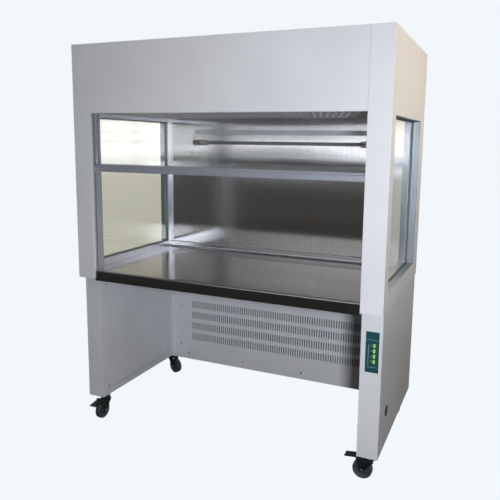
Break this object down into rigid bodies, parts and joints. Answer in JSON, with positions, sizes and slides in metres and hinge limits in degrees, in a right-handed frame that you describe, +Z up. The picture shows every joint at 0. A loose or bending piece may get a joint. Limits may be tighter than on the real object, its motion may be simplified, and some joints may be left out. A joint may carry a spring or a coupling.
{
  "type": "laminar flow clean bench",
  "caption": "Free-standing vertical laminar-flow clean bench with a sliding glass sash, glass side windows, stainless chamber and worktop, slotted air intake and braked castors.",
  "frame": {"origin": "on the floor, under the middle of the cabinet's width and depth", "axes": "+Z up, -Y towards the user at the open front, +X to the user's right"},
  "size_m": [1.3, 0.72, 1.62],
  "materials": {
    "painted_steel": "fine-textured off-white powder coat",
    "stainless": "polished stainless sheet with a fine vertical grain",
    "aluminium": "satin anodised extrusion",
    "clear_glass": "clear float glass with a green edge",
    "rubber": "grey extruded rubber",
    "black_plastic": "moulded black plastic",
    "nylon": "white nylon",
    "filter_paper": "folded glass-fibre filter paper",
    "lamp_glass": "quartz glass of a germicidal lamp",
    "zinc_steel": "zinc-plated steel",
    "black_steel": "black painted pressed steel",
    "wheel_rubber": "dark grey rubber wheel",
    "panel_face": "teal control panel face",
    "lit_key": "translucent green key"
  },
  "bodies": {
    "cabinet": {"left_post": "painted_steel", "right_post": "painted_steel", "fascia_panel": "painted_steel", "left_upper_side": "painted_steel", "right_upper_side": "painted_steel", "roof_panel": "painted_steel", "upper_back_panel": "painted_steel", "plenum_box": "painted_steel", "back_liner": "stainless", "side_liners": "stainless", "window_frames": "stainless", "side_glass": "clear_glass", "window_gaskets": "rubber", "diffuser_plate": "painted_steel", "filter_frame": "aluminium", "filter_media": "filter_paper", "fan_deck": "zinc_steel", "blower_motor": "black_steel", "lamp_batten": "aluminium", "lamp_holders": "black_plastic", "lamp_tube": "lamp_glass", "guide_rails": "aluminium", "fixed_pane": "clear_glass", "worktop": "stainless", "worktop_pan": "painted_steel", "rear_beam": "painted_steel", "leg_frames": "zinc_steel", "left_leg_outer_panel": "painted_steel", "right_leg_outer_panel": "painted_steel", "left_leg_inner_panel": "painted_steel", "right_leg_inner_panel": "painted_steel", "left_leg_front_cover": "painted_steel", "right_leg_front_cover": "painted_steel", "leg_access_covers": "painted_steel", "intake_panel": "painted_steel", "lower_back_panel": "painted_steel", "compartment_floor": "painted_steel", "prefilter": "filter_paper", "control_panel": "panel_face", "power_inlet": "black_plastic", "panel_screws": "zinc_steel", "castor_plates": "zinc_steel"},
    "sash": {"sash_glass": "clear_glass", "sash_rail": "aluminium", "sash_shoes": "nylon"},
    "blower_impeller": {"blower_impeller": "zinc_steel"},
    "key_blower": {"key_blower": "lit_key"},
    "key_speed": {"key_speed": "lit_key"},
    "key_light": {"key_light": "lit_key"},
    "key_socket": {"key_socket": "lit_key"},
    "front_left_fork": {"front_left_fork": "black_steel"},
    "front_left_wheel": {"front_left_wheel": "wheel_rubber"},
    "front_left_pedal": {"front_left_pedal": "black_steel"},
    "front_right_fork": {"front_right_fork": "black_steel"},
    "front_right_wheel": {"front_right_wheel": "wheel_rubber"},
    "front_right_pedal": {"front_right_pedal": "black_steel"},
    "rear_left_fork": {"rear_left_fork": "black_steel"},
    "rear_left_wheel": {"rear_left_wheel": "wheel_rubber"},
    "rear_right_fork": {"rear_right_fork": "black_steel"},
    "rear_right_wheel": {"rear_right_wheel": "wheel_rubber"}
  },
  "joints": [
    {"name": "sash_slide", "type": "slide", "parent": "cabinet", "child": "sash", "axis": [0, 0, 1], "range_m": [-0.41, 0.01]},
    {"name": "impeller_spin", "type": "hinge", "parent": "cabinet", "child": "blower_impeller", "pos_m": [0, 0.005, 1.47], "axis": [0, 0, 1], "continuous": true},
    {"name": "key_blower_press", "type": "slide", "parent": "cabinet", "child": "key_blower", "axis": [0, 1, 0], "range_m": [0, 0.001], "stiffness_N_per_m": 300, "springref_m": -0.0002},
    {"name": "key_speed_press", "type": "slide", "parent": "cabinet", "child": "key_speed", "axis": [0, 1, 0], "range_m": [0, 0.001], "stiffness_N_per_m": 300, "springref_m": -0.0002},
    {"name": "key_light_press", "type": "slide", "parent": "cabinet", "child": "key_light", "axis": [0, 1, 0], "range_m": [0, 0.001], "stiffness_N_per_m": 300, "springref_m": -0.0002},
    {"name": "key_socket_press", "type": "slide", "parent": "cabinet", "child": "key_socket", "axis": [0, 1, 0], "range_m": [0, 0.001], "stiffness_N_per_m": 300, "springref_m": -0.0002},
    {"name": "front_left_swivel", "type": "hinge", "parent": "cabinet", "child": "front_left_fork", "pos_m": [-0.6075, -0.262, 0.1], "axis": [0, 0, 1], "continuous": true},
    {"name": "front_left_roll", "type": "hinge", "parent": "front_left_fork", "child": "front_left_wheel", "pos_m": [-0.60656, -0.28898, 0.0375], "axis": [0.9994, 0.0349, 0], "continuous": true},
    {"name": "front_left_brake", "type": "hinge", "parent": "front_left_fork", "child": "front_left_pedal", "pos_m": [-0.6061, -0.30198, 0.087], "axis": [0.9994, 0.0349, 0], "range_deg": [0, 12]},
    {"name": "front_right_swivel", "type": "hinge", "parent": "cabinet", "child": "front_right_fork", "pos_m": [0.6075, -0.262, 0.1], "axis": [0, 0, 1], "continuous": true},
    {"name": "front_right_roll", "type": "hinge", "parent": "front_right_fork", "child": "front_right_wheel", "pos_m": [0.5805, -0.262, 0.0375], "axis": [0, -1, 0], "continuous": true},
    {"name": "front_right_brake", "type": "hinge", "parent": "front_right_fork", "child": "front_right_pedal", "pos_m": [0.5675, -0.262, 0.087], "axis": [0, -1, 0], "range_deg": [0, 12]},
    {"name": "rear_left_swivel", "type": "hinge", "parent": "cabinet", "child": "rear_left_fork", "pos_m": [-0.6075, 0.3, 0.1], "axis": [0, 0, 1], "continuous": true},
    {"name": "rear_left_roll", "type": "hinge", "parent": "rear_left_fork", "child": "rear_left_wheel", "pos_m": [-0.58213, 0.29076, 0.0375], "axis": [0.342, 0.9397, 0], "continuous": true},
    {"name": "rear_right_swivel", "type": "hinge", "parent": "cabinet", "child": "rear_right_fork", "pos_m": [0.6075, 0.3, 0.1], "axis": [0, 0, 1], "continuous": true},
    {"name": "rear_right_roll", "type": "hinge", "parent": "rear_right_fork", "child": "rear_right_wheel", "pos_m": [0.58412, 0.2865, 0.0375], "axis": [0.5, -0.866, 0], "continuous": true}
  ]
}
